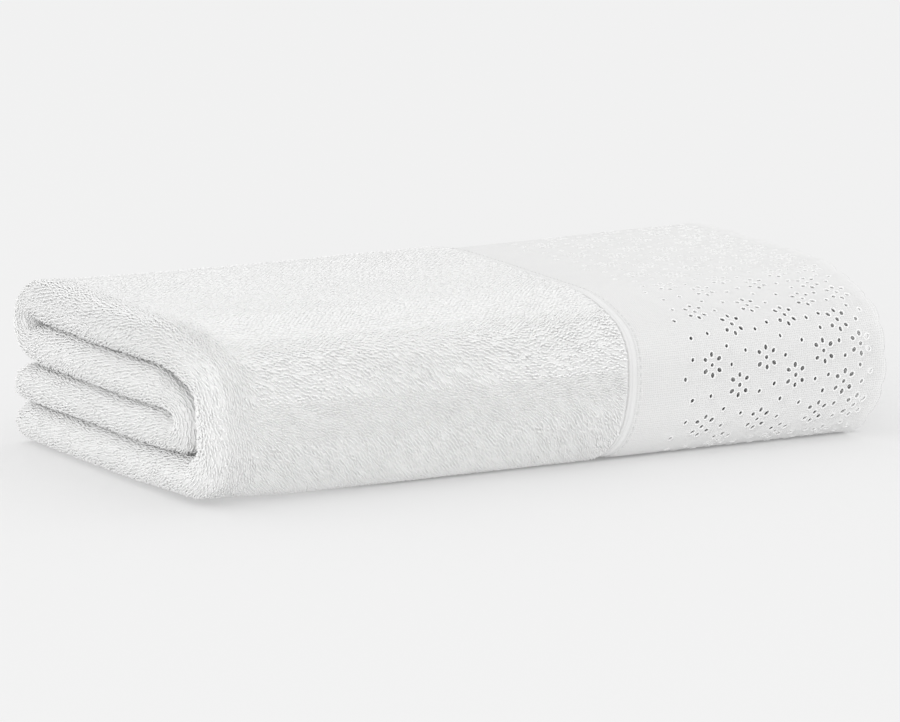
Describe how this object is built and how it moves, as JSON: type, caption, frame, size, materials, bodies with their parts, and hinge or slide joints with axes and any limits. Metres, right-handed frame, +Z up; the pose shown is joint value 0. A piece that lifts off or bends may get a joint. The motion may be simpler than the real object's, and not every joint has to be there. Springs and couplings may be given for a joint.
{
  "type": "hand towel",
  "caption": "White terry hand towel, folded, with a woven eyelet border, a scalloped edge and a raised rib along the seam.",
  "frame": {"origin": "on the ground, under the middle of the folded towel", "axes": "+X along the folded towel towards the scalloped edge, +Y from the front fold to the back, +Z up"},
  "size_m": [0.2436, 0.1324, 0.0532],
  "materials": {
    "white_terry": "looped cotton pile",
    "white_woven_cotton": "plain weave with embroidered eyelets",
    "white_tape": "narrow woven cotton rib"
  },
  "bodies": {
    "root": {"terry_body": "white_terry", "lace_border": "white_woven_cotton", "seam_rib": "white_tape"}
  },
  "joints": []
}
